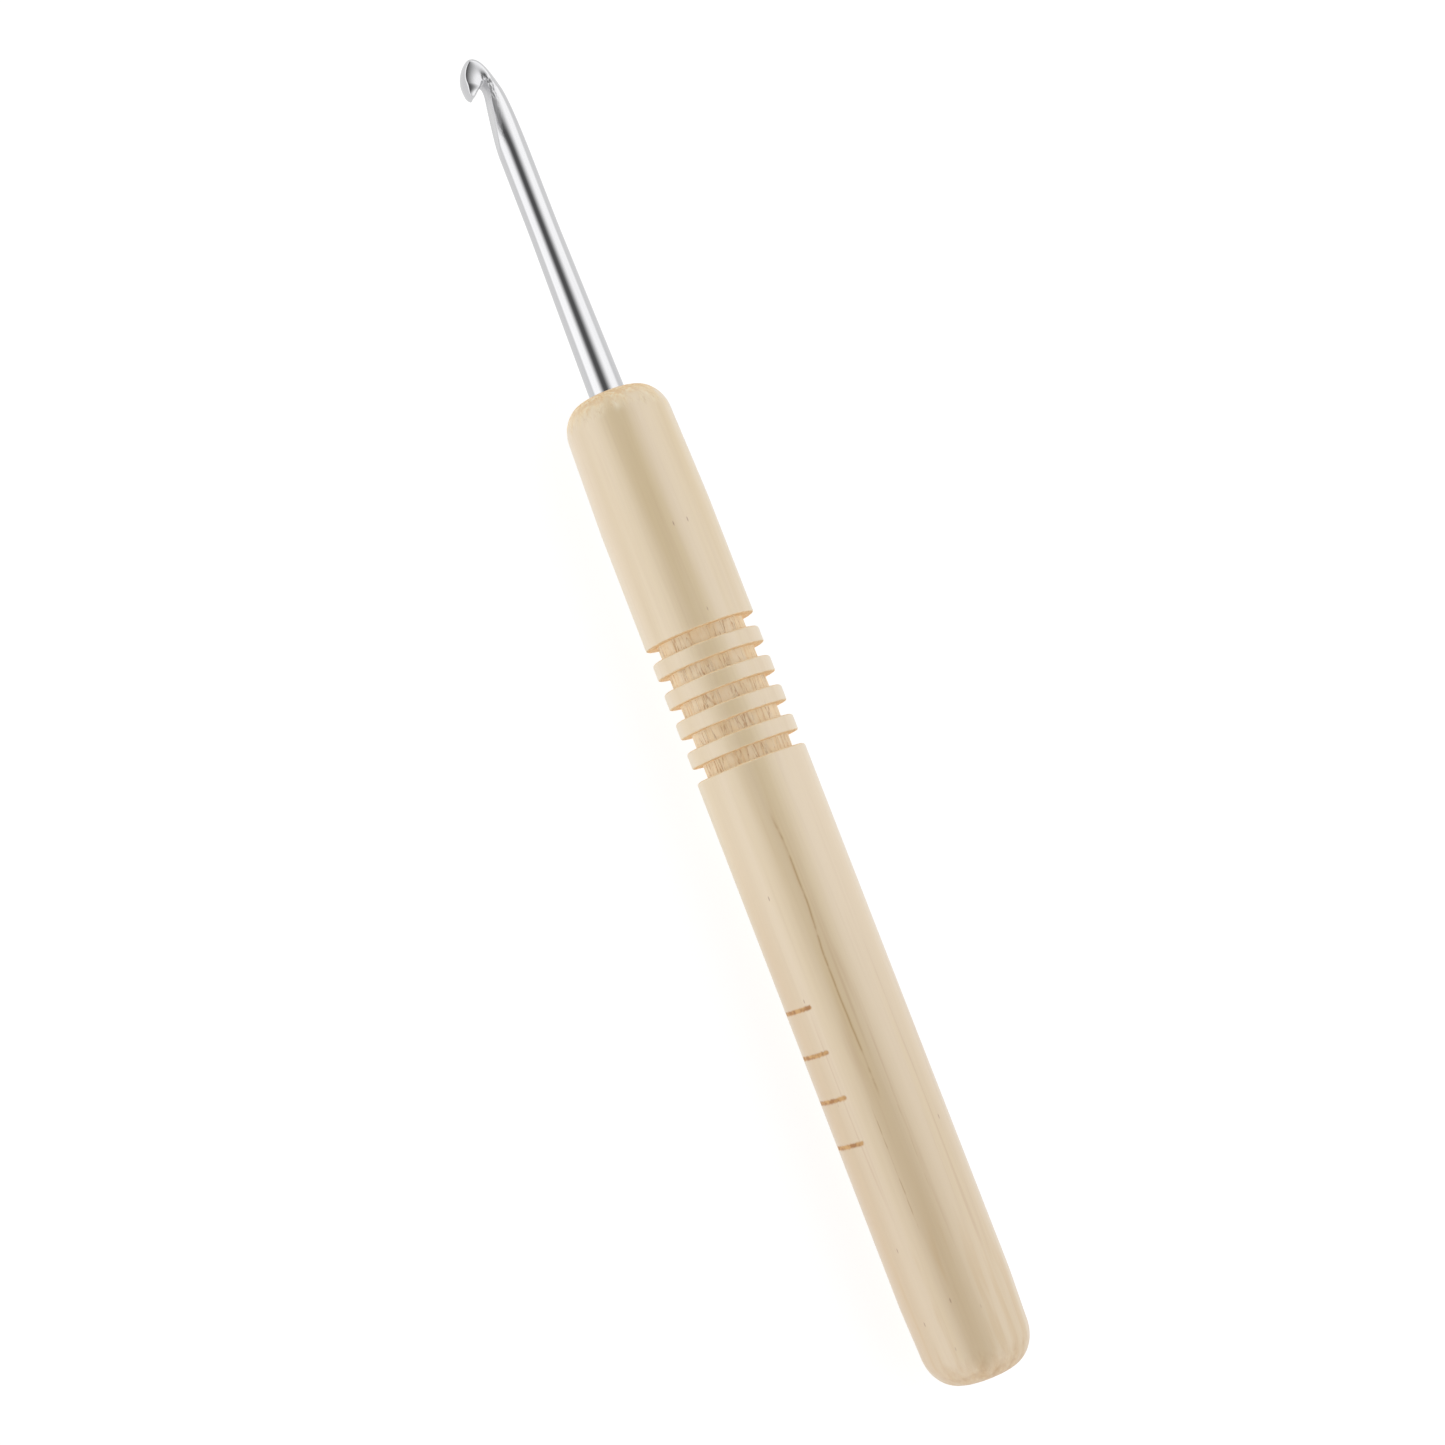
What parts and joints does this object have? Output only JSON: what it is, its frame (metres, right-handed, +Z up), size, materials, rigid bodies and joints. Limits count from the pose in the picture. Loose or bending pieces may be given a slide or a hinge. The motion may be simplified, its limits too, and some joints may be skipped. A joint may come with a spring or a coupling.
{
  "type": "crochet hook",
  "caption": "Crochet hook with a polished metal shank and a pressed, lipped head, glued into a turned wooden handle with a grooved grip band.",
  "frame": {"origin": "on the surface the handle lies on, below the middle of the overall length", "axes": "+X along the hook from the tip to the butt, +Z up, and the lip of the hook faces -Y"},
  "size_m": [0.151, 0.0122, 0.0123],
  "materials": {
    "polished_metal": "polished, with a rougher cut in the throat and on the neck's floor",
    "varnished_wood": "pale close-grained wood, thin semi-gloss clear varnish, bare in the grooves and at both ends",
    "cured_glue": "cured, yellowish, hidden"
  },
  "bodies": {
    "root": {"hook_shank": "polished_metal", "handle": "varnished_wood", "adhesive": "cured_glue"}
  },
  "joints": []
}
